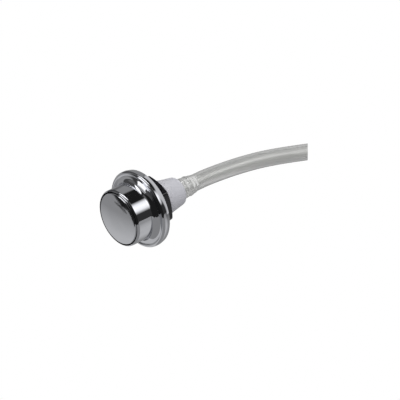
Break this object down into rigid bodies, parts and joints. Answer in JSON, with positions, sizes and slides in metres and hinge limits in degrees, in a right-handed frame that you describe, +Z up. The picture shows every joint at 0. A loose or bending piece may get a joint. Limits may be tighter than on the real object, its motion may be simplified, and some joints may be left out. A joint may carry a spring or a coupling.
{
  "type": "pneumatic push button cistern actuator",
  "caption": "Chrome air push button in a flanged collar with a backnut, a conical tail and a short clear tube; pressing it pumps air to trip a cistern's flush valve.",
  "frame": {"origin": "on the button's axis, in the plane of the flange's rear rim that seats on the panel", "axes": "+Y along the button's axis from its face to its tail, so the button faces -Y; +Z up"},
  "size_m": [0.042, 0.1248, 0.042],
  "materials": {
    "chrome_plate": "polished",
    "white_plastic": "satin",
    "black_plastic": "satin",
    "black_rubber": "matte",
    "spring_wire": "satin",
    "clear_tube": "gloss"
  },
  "bodies": {
    "housing": {"bezel": "chrome_plate", "actuator_body": "white_plastic", "panel_gasket": "black_rubber", "backnut": "black_plastic", "bellows": "black_rubber", "bellows_clamp_ring": "white_plastic", "return_spring": "spring_wire", "air_tube": "clear_tube"},
    "button": {"button_cap": "chrome_plate", "button_carrier": "white_plastic", "spring_cup": "white_plastic"}
  },
  "joints": [
    {"name": "button_press", "type": "slide", "parent": "housing", "child": "button", "axis": [0, 1, 0], "range_m": [0, 0.005], "stiffness_N_per_m": 900, "springref_m": -0.004, "deforming": ["bellows", "return_spring"]}
  ]
}
